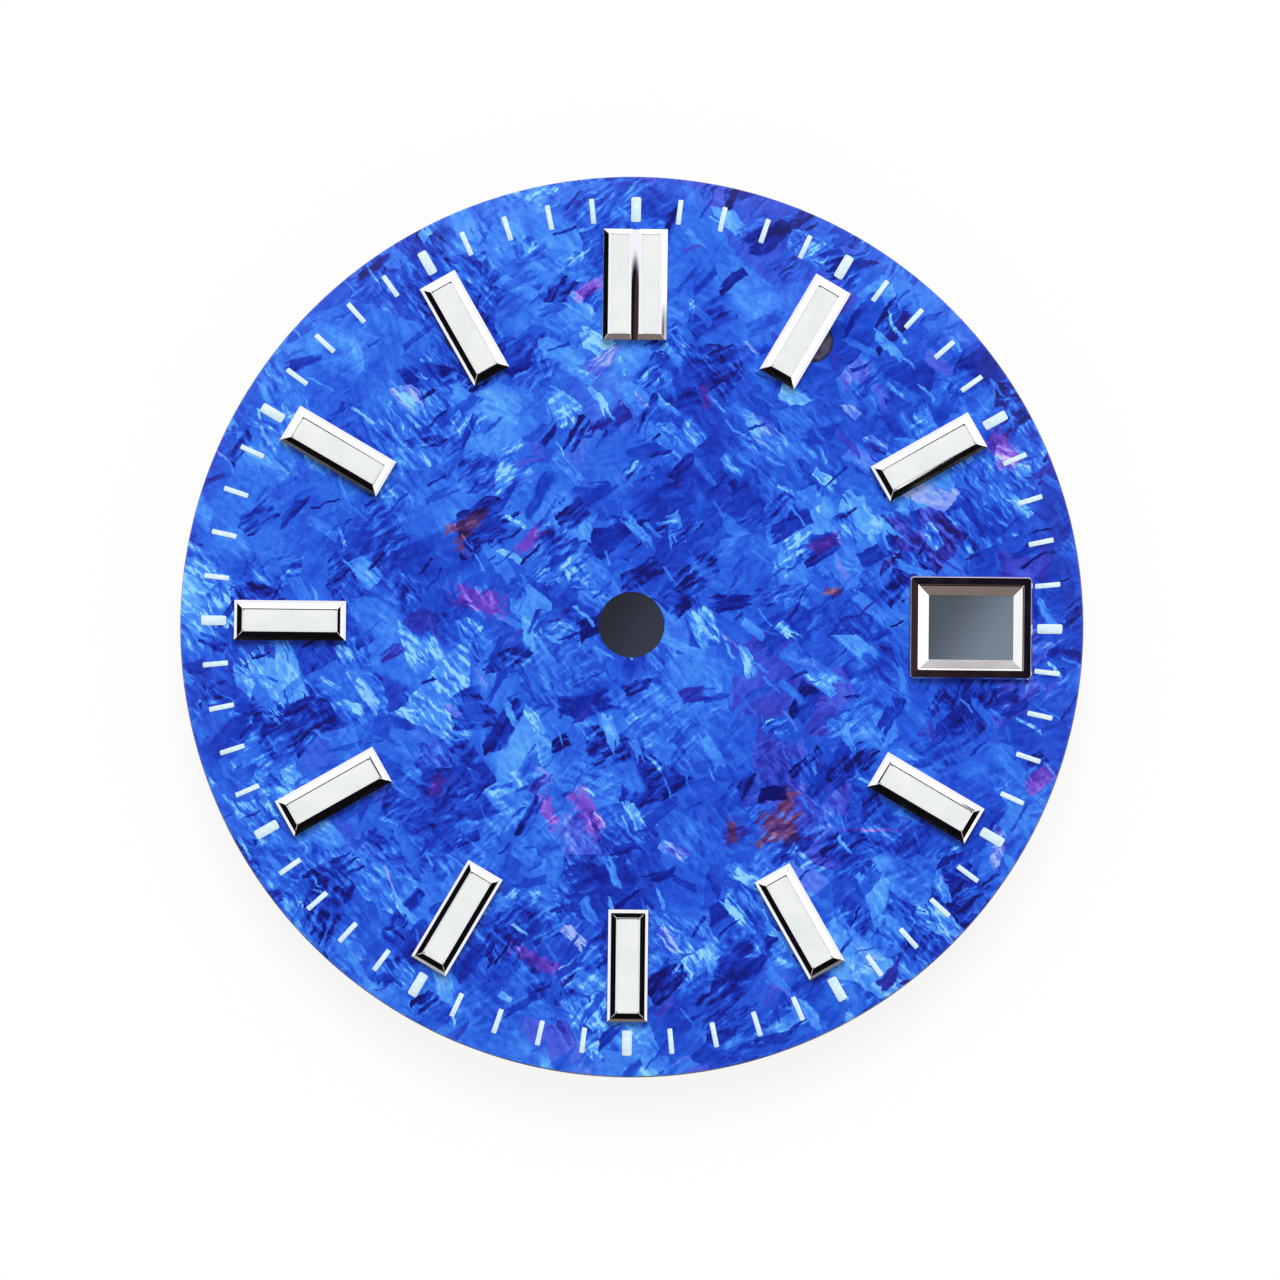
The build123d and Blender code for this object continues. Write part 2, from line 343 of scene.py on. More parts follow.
def flakeLayer(g, torn, drift, layer, index, tone, hue, crumple):
    # one scatter of torn flakes: a cell may hold one, with its own slant, tone, hue and crumple
    f = flakes
    size = layer["size"]
    shift = [step * index for step in f["layerShift"]]
    spread = g.stretched(torn, (1 / size,) * 3, layer["turn"], (*shift, 0))
    cells = g.node("ShaderNodeTexVoronoi", {"voronoi_dimensions": "2D"}, {"Vector": spread, "Scale": 1.0})
    middle = cells["Position"]
    seed = middle + f["seedStep"] * (index + 1)
    dice = g.node("ShaderNodeTexWhiteNoise", {"noise_dimensions": "3D"}, {"Vector": seed})
    roll = g.parts(dice["Color"])
    more = g.parts(cells["Color"])
    first, second = f["slants"]
    choice = (roll[0] * f["slantRoll"] + drift) < f["slantOver"]
    slant = choice * (first - second) + (roll[1] - 0.5) * f["slantSpread"]
    lie = g.turned(spread - middle, -1 * slant - (second + layer["turn"]))
    away = g.parts(lie)
    grain = g.stretched(lie + dice["Color"] * f["grainShift"],
                        (f["grainLong"] * size, layer["comb"] * size, 1.0))
    streak = g.noise(grain, *f["grainNoise"], "2D")["Fac"]
    fray = streak - 0.5
    long = (roll[1] * f["lengths"][0] + f["lengths"][1]) * layer["long"]
    wide = (roll[2] * f["widths"][0] + f["widths"][1]) * layer["wide"]
    endward = abs(away[0]) / long + fray * f["frayed"][0]
    sideward = abs(away[1]) / wide + fray * f["frayed"][1]
    blur = more[2] * more[2] * f["blur"][0] + f["blur"][1]
    inside = g.soften(endward.largest(sideward), 1 - blur, 1 + blur, 1.0, 0.0)
    if layer["cover"] < 1:
        inside = inside * g.soften(more[0], 0.0, layer["cover"], f["coverEdge"], 0.0).smallest(1.0)
    else:
        inside = 1.0
    comb = g.soften(streak, *f["combLight"]) - g.soften(streak, *f["combDark"], 1.0, 0.0)
    level = dice["Value"] * (layer["light"] - layer["dark"]) + layer["dark"]
    fleck = level + comb * g.soften(roll[2], *f["hatched"]) * layer["hatch"] + fray * f["grainTone"]
    tone = tone + (fleck - tone) * (inside * f["solid"])
    hue = hue + (more[1] - hue) * inside
    crumple = crumple + (roll[2] - crumple) * inside
    return tone, hue, crumple


def placed(g, torn, x, y, halfLength, halfWidth, slant):
    # a spot's own coordinates, 1 at its half length and half width
    values = {"Vector": torn, "Location": (x, y, 0), "Rotation": (0, 0, math.radians(slant)),
              "Scale": (halfLength, halfWidth, 1)}
    return g.node("ShaderNodeMapping", {"vector_type": "TEXTURE"}, values)[0]


def areaLift(g, torn):
    # how much each broad area lightens or darkens the flakes in it
    lift = 0.0
    for *place, change in flakes["areas"]:
        lift = g.soften(placed(g, torn, *place).sum("LENGTH"), *flakes["areaEdge"], change, 0.0) + lift
    return lift


def spotField(g, torn, spots):
    # under 1 inside any of the spots, more outside
    field = None
    for place in spots:
        away = g.parts(placed(g, torn, *place))
        here = abs(away[0]).largest(abs(away[1]))
        field = here.smallest(field) if field else here
    return field


def along(g, torn, slant, scale, swirl=0.0):
    # strokes that run along a slant
    return g.noise(g.stretched(g.turned(torn, -slant), scale), *flakes["strokeNoise"], "2D", swirl)["Fac"]


def flakeFinish():
    f = flakes
    look = {"Specular IOR Level": 0.15, "Coat Weight": 0.6, "Coat Roughness": 0.06}
    material, g, shader = newFinish("flakeFinish", look)
    point = g.point()
    torn = point + (g.noise(point, *f["tearNoise"], "2D")["Color"] - 0.5) * f["tear"]
    broad = g.noise(point, *f["broadNoise"], "2D")["Fac"]
    drift = g.noise(point + f["driftShift"], *f["driftNoise"], "2D")["Fac"]
    tone, hue, crumple = broad * f["broadStart"], broad, broad
    for index, row in enumerate(f["layers"]):
        layer = dict(zip(f["columns"], row))
        tone, hue, crumple = flakeLayer(g, torn, drift, layer, index, tone, hue, crumple)
    strokes = [along(g, torn, slant, f["strokeScale"], f["strokeSwirl"]) for slant in f["slants"]]
    crease = strokes[0] + (strokes[1] - strokes[0]) * g.soften(drift, *f["driftBlend"])
    # painted highlight on the ridges and painted shade in the gullies of the crumpled foil
    ridge = g.soften(crease, *f["ridge"]) * f["ridgeTone"]
    gully = g.soften(crease, *f["gully"], 1.0, 0.0) * f["gullyTone"]
    fine = g.noise(point, *f["fineNoise"], "2D")["Fac"]
    tone = tone + (ridge - gully) * g.soften(crumple, *f["crumpled"])
    tone = tone + (fine - 0.5) * f["fineTone"] + (broad - 0.5) * f["broadTone"]
    tone = (tone + areaLift(g, torn)) * f["contrast"] + f["lift"]
    shades = {name: g.grade(tone, [(place, rgb(*colour)) for place, colour in f[name]])
              for name in ("blues", "violets", "pinks", "coppers")}
    violet = g.soften(hue, *f["violetFrom"]) * f["violetShare"]
    colour = g.blend(violet, shades["blues"], shades["violets"])
    brush = along(g, torn, f["slants"][0], f["brushScale"])
    for spots, shade in (("pinkSpots", "pinks"), ("copperSpots", "coppers")):
        near = spotField(g, torn, f[spots]) + (brush - 0.5) * f["spotFray"]
        colour = g.blend(g.soften(near, *f["spotEdge"], f["spotShare"], 0.0), colour, shades[shade])
    wrinkles = g.noise(point, *f["wrinkleNoise"], "2D", f["wrinkleSwirl"])["Fac"]
    shader.feed({
        "Base Color": colour,
        "Roughness": g.soften(crumple, 0.0, 1.0, *f["roughness"]),
        "Normal": g.bump(wrinkles, *f["wrinkleBump"])})
    return material


# Metals
polish = {
    # lengths in mm, noises as scale per mm and detail; grit fades between two heights over the face
    "scratchScale": (60.0, 3.0, 3.0),
    "scratchTurn": 0.6,
    "scratchNoise": (1.0, 2.0),
    "scratchDepth": 0.0006,
    "cloudNoise": (1.4, 2.0),
    "cloudRange": (0.35, 0.7),
    "roughShares": (0.8, 1.6),
    "gritHeights": (0.18, 0.27),
    "gritNoise": (18.0, 1.0),
    "gritDepth": 0.007,
    "bumpStrength": 0.2,
}


def polishedFinish(name, colour, roughness, gritty=False):
    # bright plated metal with fine scratches, and grit on what lies under the crest
    p = polish
    look = {"Base Color": colour, "Metallic": 1.0, "Roughness": roughness}
    material, g, shader = newFinish(name, look)
    point = g.point()
    scratch = g.noise(g.stretched(point, p["scratchScale"], p["scratchTurn"]), *p["scratchNoise"])["Fac"]
    cloud = g.noise(point, *p["cloudNoise"])["Fac"]
    height = scratch * p["scratchDepth"]
    if gritty:
        bottom, top = p["gritHeights"]
        low = g.soften(g.parts(point)[2], faceTop + bottom, faceTop + top, 1.0, 0.0)
        height = height + g.noise(point, *p["gritNoise"])["Fac"] * low * p["gritDepth"]
    dull = [roughness * share for share in p["roughShares"]]
    shader.feed({
        "Roughness": g.soften(cloud, *p["cloudRange"], *dull),
        "Normal": g.bump(height, 1.0, p["bumpStrength"])})
    return material


# Finishes in two colours, with their cloud and grain as scale per mm, detail and roughness
cloudRange = (0.3, 0.7)
brass = {
    "dark": (176, 150, 98),
    "light": (204, 178, 120),
    "cloudNoise": (0.5, 3.0),
    "ringScale": (0.15, 0.15, 1.0),
    "ringNoise": (1.0, 2.0),
    "ringsPerMm": 14.0,
    "ringBump": (0.004, 0.5),
    "dullRange": (0.3, 0.75),
    "roughness": (0.26, 0.42),
}
footMetal = {
    "plain": {"Metallic": 0.6, "Roughness": 0.4},
    "dark": (76, 76, 100),
    "light": (104, 102, 128),
    "cloudNoise": (2.5, 3.0),
    "roughness": (0.3, 0.5),
    "grainNoise": (30.0, 2.0),
    "grainBump": (0.004, 0.4),
}
lume = {
    "plain": {"Roughness": 0.6, "Specular IOR Level": 0.3},
    "dark": (233, 238, 237),
    "light": (240, 243, 242),
    "cloudNoise": (1.2, 2.0),
    "grainNoise": (28.0, 2.0, 0.6),
    "grainBump": (0.006, 0.5),
}
ink = {
    "plain": {"Roughness": 0.55},
    "dark": (208, 238, 254),
    "light": (232, 250, 255),
    "cloudNoise": (9.0, 3.0),
    "grainNoise": (9.0, 3.0),
    "grainBump": (0.01, 0.4),
}
adhesive = {
    "plain": {"Roughness": 0.15, "Coat Weight": 0.6},
    "dark": (120, 84, 36),
    "light": (158, 118, 60),
    "cloudNoise": (5.0, 2.0),
}


def clouded(g, cloud, look):
    return g.blend(g.soften(cloud, *cloudRange), rgb(*look["dark"]), rgb(*look["light"]))


def brassFinish():
    # turned brass blank
    b = brass
    material, g, shader = newFinish("brassFinish", {"Metallic": 1.0, "Roughness": 0.35})
    point = g.point()
    turning = g.stretched(point, b["ringScale"]) + point.sum("LENGTH") * b["ringsPerMm"]
    rings = g.noise(turning, *b["ringNoise"])["Fac"]
    cloud = g.noise(point, *b["cloudNoise"])["Fac"]
    shader.feed({
        "Base Color": clouded(g, cloud, b),
        "Roughness": g.soften(cloud, *b["dullRange"], *b["roughness"]),
        "Normal": g.bump(rings, *b["ringBump"])})
    return material


def cloudyFinish(name, look):
    # dulled foot metal, luminous paste, printing ink or amber adhesive
    material, g, shader = newFinish(name, look["plain"])
    point = g.point()
    cloud = g.noise(point, *look["cloudNoise"])["Fac"]
    shader.feed({"Base Color": clouded(g, cloud, look)})
    if "roughness" in look:
        shader.feed({"Roughness": g.soften(cloud, *cloudRange, *look["roughness"])})
    if "grainNoise" in look:
        grain = g.noise(point, *look["grainNoise"])["Fac"]
        shader.feed({"Normal": g.bump(grain, *look["grainBump"])})
    return material


finishes = {
    "brass_blank": brassFinish(),
    "flake_face": flakeFinish(),
    "pale_ink": cloudyFinish("inkFinish", ink),
    "polished_frame": polishedFinish("frameFinish", rgb(238, 234, 234), 0.07, gritty=True),
    "polished_marker": polishedFinish("markerFinish", rgb(234, 234, 238), 0.05),
    "luminous_fill": cloudyFinish("lumeFinish", lume),
    "foot_metal": cloudyFinish("footFinish", footMetal),
    "adhesive": cloudyFinish("adhesiveFinish", adhesive),
}
print("finishes made")


# Mesh helpers, all in millimetres
meshing = {
    "apart": 50.0,
    "weld": 1e-5,
    "near": 1e-4,
}


def outline(mesh, left, right, low, high, height, corner=0.0, steps=5):
    # a rectangle's edge loop at one height, its corners rounded
    before = set(mesh.edges)
    middle = ((left + right) / 2, (low + high) / 2, height)
    place = Matrix.LocRotScale(middle, None, (right - left, high - low, 1))
    made = bmesh.ops.create_grid(mesh, x_segments=1, y_segments=1, size=0.5, matrix=place)["verts"]
    if corner:
        bmesh.ops.bevel(mesh, geom=made, offset=corner, offset_type="OFFSET", segments=steps,
                        profile=0.5, affect="VERTICES", material=-1)
    edges = [e for e in mesh.edges if e not in before]
    bmesh.ops.delete(mesh, geom=list({f for e in edges for f in e.link_faces}), context="FACES_ONLY")
    return edges


def centred(mesh, width, length, height, corner=0.0, steps=5):
    return outline(mesh, -width / 2, width / 2, -length / 2, length / 2, height, corner, steps)


def join(mesh, lower, upper):
    # loops in one plane are held apart while they are bridged, or the faces can cross
    ends = list({v for e in upper for v in e.verts})
    bmesh.ops.translate(mesh, vec=(0, 0, meshing["apart"]), verts=ends)
    bmesh.ops.bridge_loops(mesh, edges=lower + upper)
    bmesh.ops.translate(mesh, vec=(0, 0, -meshing["apart"]), verts=ends)


def stack(mesh, loops, closed=False):
    # walls from each loop to the next, and from the last to the first if closed
    followers = loops[1:] + loops[:1] if closed else loops[1:]
    for lower, upper in zip(loops, followers):
        join(mesh, lower, upper)


def cap(mesh, loop):
    bmesh.ops.edgeloop_fill(mesh, edges=loop)


def block(mesh, loops):
    # walls with a face at each end
    cap(mesh, loops[0])
    stack(mesh, loops)
    cap(mesh, loops[-1])


def softenEdges(mesh, edges, width, steps=2):
    bmesh.ops.bevel(mesh, geom=edges, offset=width, offset_type="OFFSET", segments=steps,
                    profile=0.5, affect="EDGES", clamp_overlap=True, material=-1)


def sharpEdges(mesh, least=25.0):
    return [edge for edge in mesh.edges
            if len(edge.link_faces) == 2 and math.degrees(edge.calc_face_angle()) > least]


def addPin(mesh, radius, bottom, top, x=0.0, y=0.0, segments=32):
    place = Matrix.Translation((x, y, (bottom + top) / 2))
    bmesh.ops.create_cone(mesh, cap_ends=True, segments=segments, radius1=radius, radius2=radius,
                          depth=top - bottom, matrix=place)


def lathe(mesh, points, steps=64):
    # a profile of (radius, height) spun round Z
    verts = [mesh.verts.new((radius, 0, height)) for radius, height in points]
    edges = [mesh.edges.new(pair) for pair in zip(verts, verts[1:])]
    bmesh.ops.spin(mesh, geom=verts + edges, cent=(0, 0, 0), axis=(0, 0, 1), angle=math.tau,
                   steps=steps, use_merge=True)
    bmesh.ops.remove_doubles(mesh, verts=mesh.verts, dist=meshing["weld"])


def toData(name, mesh):
    data = bpy.data.meshes.new(name)
    mesh.to_mesh(data)
    mesh.free()
    return data


def toObject(name, mesh, finish, smooth=None):
    # a mesh in millimetres becomes an object in metres, faces outwards
    bmesh.ops.recalc_face_normals(mesh, faces=mesh.faces)
    bmesh.ops.scale(mesh, vec=(mm, mm, mm), verts=mesh.verts)
    data = toData(name, mesh)
    if smooth is not None:
        data.shade_smooth()
        data.set_sharp_from_angle(angle=math.radians(smooth))
    piece = bpy.data.objects.new(name, data)
    scene.collection.objects.link(piece)
    data.materials.append(finish)
    return piece


def toPiece(name, node, slot, mesh, smooth=None, place=None):
    # the mesh, moved to its place, stands for a node of the frame
    if place is not None:
        bmesh.ops.transform(mesh, matrix=place, verts=mesh.verts)
    piece = toObject(name, mesh, finishes[slot], smooth)
    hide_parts(node)
    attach(piece, "root")


def copies(source, places, whole=None):
    # a copy of the source at each place, in a new mesh or in the whole that is given
    if whole is None:
        whole = bmesh.new()
    data = toData("copy", source)
    for place in places:
        moved = data.copy()
        moved.transform(place)
        whole.from_mesh(moved)
        bpy.data.meshes.remove(moved)
    bpy.data.meshes.remove(data)
    return whole


# Applied markers
marker = {
    # sides are the widths of land, facet and rim: left, right, low end, high end
    "single": dict(rimSlopes=(17, -17, -17), sides=[(0.095, 0.165, 0.04)] * 4),
    "double": dict(rimSlopes=(17, -20.5, -20.5),
                   sides=[(0.0, 0.0, 0.10), (0.04, 0.125, 0.10), (0.0, 0.165, 0.04), (0.03, 0.13, 0.03)]),
    "landRise": 0.0255,
    "facetSlopes": (34.5, 29.0),
    "facetBend": 0.3,
    "pocketDepth": 0.20,
    "pocketCorner": 0.06,
    "grooveWidth": 0.24,
    "grooveCrown": 0.05,
    # slopes in degrees along the groove, at shares of the marker's length from its outer end
    "grooveSlopes": [(0.0, 14), (0.10, 11), (0.20, 9), (0.28, 6.5), (0.40, 3), (0.58, -2), (1.0, -8)],
    "grooveSteps": 40,
    "grooveFlank": 9,
    "grooveColumns": 8,
    "cornerSteps": 3,
    "softness": 0.010,
    "smooth": 8,
    "postRadius": 0.18,
    "postMargin": 0.30,
    "postFoot": 0.06,
}


def rimSteps(shape):
    # share of the rim's width and height of each step, from the facet's upper edge
    slopes = [math.radians(slope) for slope in shape["rimSlopes"]]
    span = sum(math.cos(slope) for slope in slopes)
    run = shape["sides"][0][2]
    steps = [(0.0, 0.0)]
    for slope in slopes:
        steps.append((steps[-1][0] + math.cos(slope) / span, steps[-1][1] + run * math.sin(slope) / span))
    return steps


def facetCrest(shape):
    return markerTop - max(height for share, height in rimSteps(shape))


def drawnIn(left, right, insets):
    # the sides of a marker's outline, each moved in: left, right, low end, high end
    end = markerLength / 2
    return left + insets[0], right - insets[1], insets[2] - end, end - insets[3]


def markerBody(mesh, left, right, shape):
    # wall, land, two facet levels, then the rim and the pocket
    m = marker
    sides = shape["sides"]
    facet = sides[1][1]
    crest = facetCrest(shape)
    outer, inner = (math.tan(math.radians(slope)) for slope in m["facetSlopes"])
    bend = crest - facet * inner * (1 - m["facetBend"])
    foot = bend - facet * outer * m["facetBend"]
    heights = [0, foot - m["landRise"], foot, bend, crest]
    insets = [(0, 0, 0, 0), (0, 0, 0, 0)]
    for share in (0, m["facetBend"], 1):
        insets.append([side[0] + share * side[1] for side in sides])
    levels = [outline(mesh, *drawnIn(left, right, inset), height)
              for inset, height in zip(insets, heights)]
    block(mesh, levels)
    below = crest - meshing["weld"]
    softenEdges(mesh, [e for e in sharpEdges(mesh) if min(v.co.z for v in e.verts) < below], m["softness"])
    top = max(mesh.faces, key=lambda f: (round(f.calc_center_median().z, 4), f.calc_area()))
    ring = list(top.edges)
    bmesh.ops.delete(mesh, geom=[top], context="FACES_ONLY")
    loops = [ring]
    for share, height in rimSteps(shape)[1:]:
        box = drawnIn(left, right, [side[0] + side[1] + share * side[2] for side in sides])
        loops.append(outline(mesh, *box, crest + height, m["pocketCorner"] * share, m["cornerSteps"]))
    loops.append(outline(mesh, *box, markerTop - m["pocketDepth"], m["pocketCorner"], m["cornerSteps"]))
    stack(mesh, loops)
    cap(mesh, loops[-1])


def grooveFloor(mesh):
    # the hollow, barrelled strip between the two bars of the double marker
    m = marker
    steps = m["grooveSteps"]
    run = markerLength / steps
    shares = [share for share, slope in m["grooveSlopes"]]

    def slopeAt(share):
        after = max(1, next(i for i, here in enumerate(shares) if here >= share))
        (low, first), (high, last) = m["grooveSlopes"][after - 1:after + 1]
        return math.radians(first + (last - first) * (share - low) / (high - low))

    heights = [0.0]
    for step in range(steps):
        heights.append(heights[-1] + run * math.tan(slopeAt((step + 0.5) / steps)))
    drop = markerTop - m["grooveCrown"] - max(heights)
    hollow = math.tan(math.radians(m["grooveFlank"])) / m["grooveWidth"]
    before = set(mesh.verts)
    place = Matrix.Diagonal((m["grooveWidth"], markerLength, 1, 1))
    bmesh.ops.create_grid(mesh, x_segments=m["grooveColumns"], y_segments=steps, size=0.5, matrix=place)
    upper = [v for v in mesh.verts if v not in before]
    for vert in upper:
        rise = heights[round((markerLength / 2 - vert.co.y) / run)]
        vert.co.z = rise + drop + hollow * (vert.co.x ** 2 - (m["grooveWidth"] / 2) ** 2)
    faces = list({f for v in upper for f in v.link_faces})
    pulled = bmesh.ops.extrude_face_region(mesh, geom=faces, use_keep_orig=True)["geom"]
    for vert in pulled:
        if isinstance(vert, bmesh.types.BMVert):
            vert.co.z = 0.0


def built(hour, build):
    # one shape across the marker, or a mirrored pair beside the groove
    mesh = bmesh.new()
    if hour == doubleHour:
        build(mesh, marker["grooveWidth"] / 2, doubleWidth / 2, marker["double"])
        return copies(mesh, [Matrix(), mirror])
    build(mesh, -markerWidth / 2, markerWidth / 2, marker["single"])
    return mesh


def makeMarker(hour):
    m = marker
    mesh = built(hour, markerBody)
    if hour == doubleHour:
        grooveFloor(mesh)
    reach = markerLength / 2 - m["postMargin"]
    for side in (-1, 1):
        addPin(mesh, m["postRadius"], m["postFoot"] - faceTop, 0, 0, side * reach)
    place = atHour(hour, markerRadius, faceTop)
    toPiece(f"baton_{hour:02d}", f"marker_{hour:02d}", "polished_marker", mesh, m["smooth"], place)


for hour in markerHours:
    makeMarker(hour)
print("markers made")


# Luminous fill
fill = {
    "clearance": 0.003,
    "edgeDrop": 0.003,
    "crown": 0.012,
    "crownRings": 6,
    "smooth": 40,
}


def addFill(mesh, left, right, shape):
    # a block with rounded corners whose top swells in the middle
    f = fill
    gap = f["clearance"]
    left, right, low, high = drawnIn(left, right, [sum(side) + gap for side in shape["sides"]])
    corner = marker["pocketCorner"] - gap
    floor = markerTop - marker["pocketDepth"]
    rimFoot = facetCrest(shape) + rimSteps(shape)[-1][1] - f["edgeDrop"]
    half = (right - left) / 2
    loops = [outline(mesh, left, right, low, high, floor, corner)]
    for ring in range(f["crownRings"] + 1):
        share = ring / (f["crownRings"] + 1)
        inset = share * half
        height = rimFoot + f["crown"] * (1 - (1 - share) ** 2)
        box = (left + inset, right - inset, low + inset, high - inset)
        loops.append(outline(mesh, *box, height, corner * (1 - share) + gap))
    block(mesh, loops)


def makeFill(hour):
    place = atHour(hour, markerRadius, faceTop)
    mesh = built(hour, addFill)
    toPiece(f"glow_{hour:02d}", f"lume_{hour:02d}", "luminous_fill", mesh, fill["smooth"], place)


for hour in markerHours:
    makeFill(hour)
print("fills made")


# Printed track
track = {
    "markLength": 0.80,
    "minuteWidth": 0.16,
    "hourWidth": 0.31,
    "cornerShare": 0.2,
    "cornerSteps": 3,
    "edge": 0.012,
    "smooth": 50,
}
trackRadius = nodeBox("hour_marks")[1].y - track["markLength"] / 2
inkTop = nodeBox("hour_marks")[1].z


def makeMarks(name, node, width, minutes):
    t = track
    mesh = bmesh.new()
    corner = width * t["cornerShare"]
    length = t["markLength"]
    inset = t["edge"]
    steps = t["cornerSteps"]
    levels = [
        centred(mesh, width, length, faceTop, corner, steps),
        centred(mesh, width, length, inkTop - inset, corner, steps),
        centred(mesh, width - 2 * inset, length - 2 * inset, inkTop, corner - inset, steps),
    ]
    block(mesh, levels)
    outwards = Matrix.Translation((0, trackRadius, 0))
    places = [Matrix.Rotation(minute * minuteTurn, 4, "Z") @ outwards for minute in minutes]
    toPiece(name, node, "pale_ink", copies(mesh, places), t["smooth"])


makeMarks("minute_print", "minute_marks", track["minuteWidth"], [i for i in range(60) if i % 5])
makeMarks("hour_print", "hour_marks", track["hourWidth"], range(0, 60, 5))
print("track made")


# Date frame
dateFrame = {
    "windowWidth": 2.66,
    "windowHeight": 2.03,
    "bevelWidth": 0.335,
    "bevelDepth": 0.125,
    "chamferWidth": 0.04,
    "chamferDrop": 0.058,
    "fallOff": 0.005,
    "lipWidth": 0.045,
    "lipDrop": 0.027,
    "corner": 0.14,
    "height": 0.30,
    "skirtWall": 0.15,
    "skirtBottom": 0.03,
    "tightCorner": 0.02,
    "sharp": 19.0,
    "softness": 0.007,
    "postRadius": 0.12,
    "postInset": 0.26,
    "postFoot": 0.06,
    "postSteps": 20,
}
frameMiddle = sum(nodeBox("date_frame"), Vector()) / 2
frameSize = nodeSize("date_frame")


def framePosts():
    reachX = frameSize.x / 2 - dateFrame["postInset"]
    reachY = frameSize.y / 2 - dateFrame["postInset"]
    return [(x * reachX, y * reachY) for x in (-1, 1) for y in (-1, 1)]


def makeDateFrame():
    d = dateFrame
    mesh = bmesh.new()
    tight = d["tightCorner"]
    window = (d["windowWidth"], d["windowHeight"])
    opening = [side + 2 * d["bevelWidth"] for side in window]
    skirt = [side + 2 * d["skirtWall"] for side in window]
    crest = [side - 2 * d["chamferWidth"] for side in frameSize.xy]
    lip = [side - 2 * d["lipWidth"] for side in opening]
    levels = [
        centred(mesh, *frameSize.xy, 0, d["corner"]),
        centred(mesh, *frameSize.xy, d["height"] - d["chamferDrop"], d["corner"]),
        centred(mesh, *crest, d["height"] - d["fallOff"], d["corner"] - d["chamferWidth"]),
        centred(mesh, *opening, d["height"], tight * 2),
        centred(mesh, *lip, d["height"] - d["lipDrop"], tight),
        centred(mesh, *window, d["height"] - d["bevelDepth"], tight),
        centred(mesh, *window, d["skirtBottom"] - faceTop, tight),
        centred(mesh, *skirt, d["skirtBottom"] - faceTop, tight * 2),
        centred(mesh, *skirt, 0, tight * 2),
    ]
    stack(mesh, levels, closed=True)
    softenEdges(mesh, sharpEdges(mesh, d["sharp"]), d["softness"])
    for x, y in framePosts():
        addPin(mesh, d["postRadius"], d["postFoot"] - faceTop, 0, x, y, d["postSteps"])
    place = Matrix.Translation((frameMiddle.x, frameMiddle.y, faceTop))
    toPiece("date_surround", "date_frame", "polished_frame", mesh, place=place)


makeDateFrame()
print("date frame made")


# Dial feet
foot = {
    "inset": 0.13,
    "turns": {1: 1.9, 5: 0.0, 7: 0.0, 11: -0.3},
    "headRadius": 0.65,
    "headSink": 0.02,
    "headEdge": 0.03,
    "ringRadius": 0.59,
    "ringWidth": 0.05,
    "ringDepth": 0.025,
    "seatRadius": 0.56,
    "shankRadius": 0.375,
    "length": 1.90,
    "tip": 0.10,
    "smooth": 30,
}
footRadius = markerRadius - foot["inset"]


def footPlace(hour):
    turn = Matrix.Rotation(math.radians(-foot["turns"][hour]), 4, "Z")
    return turn @ atHour(hour, footRadius)


def makeFoot(hour):
    f = foot
    mesh = bmesh.new()
    top = faceTop - f["headSink"]
    edge = f["headEdge"]
    ring = f["ringRadius"]
    half = f["ringWidth"] / 2
    lathe(mesh, [
        (0, top), (ring - half, top), (ring, top - f["ringDepth"]), (ring + half, top),
        (f["headRadius"] - edge, top), (f["headRadius"], top - edge), (f["headRadius"], baseTop),
        (f["seatRadius"], baseTop), (f["seatRadius"], 0), (f["shankRadius"], 0),
        (f["shankRadius"], f["tip"] - f["length"]), (f["shankRadius"] - f["tip"], -f["length"]),
        (0, -f["length"])])
    name = f"foot_{hour:02d}"
    toPiece(name, "dial_" + name, "foot_metal", mesh, f["smooth"], footPlace(hour))


for hour in footHours:
    makeFoot(hour)
print("feet made")


# Adhesive in the back of each post hole
dot = {
    "thickness": 0.06,
    "lip": 0.10,
    "hollow": 0.02,
    "rings": 4,
    "steps": 24,
    "smooth": 40,
}


def postPlaces():
    # where the posts pass through the plates: (place, post radius)
    reach = markerLength / 2 - marker["postMargin"]
    places = [(atHour(hour, markerRadius + side * reach), marker["postRadius"])
              for hour in markerHours for side in (-1, 1)]
    corners = [(Matrix.Translation((frameMiddle.x + x, frameMiddle.y + y, 0)), dateFrame["postRadius"])
               for x, y in framePosts()]
    return places + corners


def makeDots():
    d = dot
    whole = bmesh.new()
    for size in sorted({radius for place, radius in postPlaces()}):
        radius = size + d["lip"]
        shares = [ring / d["rings"] for ring in range(d["rings"] + 1)]
        dish = [(radius * share, d["hollow"] * (1 - share ** 2)) for share in shares]
        mesh = bmesh.new()
        lathe(mesh, dish + [(radius, d["thickness"]), (0, d["thickness"])], d["steps"])
        copies(mesh, [place for place, postRadius in postPlaces() if postRadius == size], whole)
    toPiece("adhesive_drops", "adhesive_dots", "adhesive", whole, d["smooth"])


makeDots()
print("adhesive made")


# Plates: a round blank each, with its openings cut through
plates = {
    "holeRadius": 1.04,
    "postGap": 0.02,
    "dotGap": 0.01,
    "footGap": 0.01,
    "seatGap": 0.02,
    "skirtGap": 0.02,
    "sheetEdge": 0.04,
    "baseEdge": 0.025,
    "overrun": 0.5,
    "rimSteps": 256,
    "holeSteps": 96,
    "footSteps": 64,
    "postSteps": 24,
    "rimAngle": 60.0,
    "edgeSteps": 3,
    "smooth": 30,
}


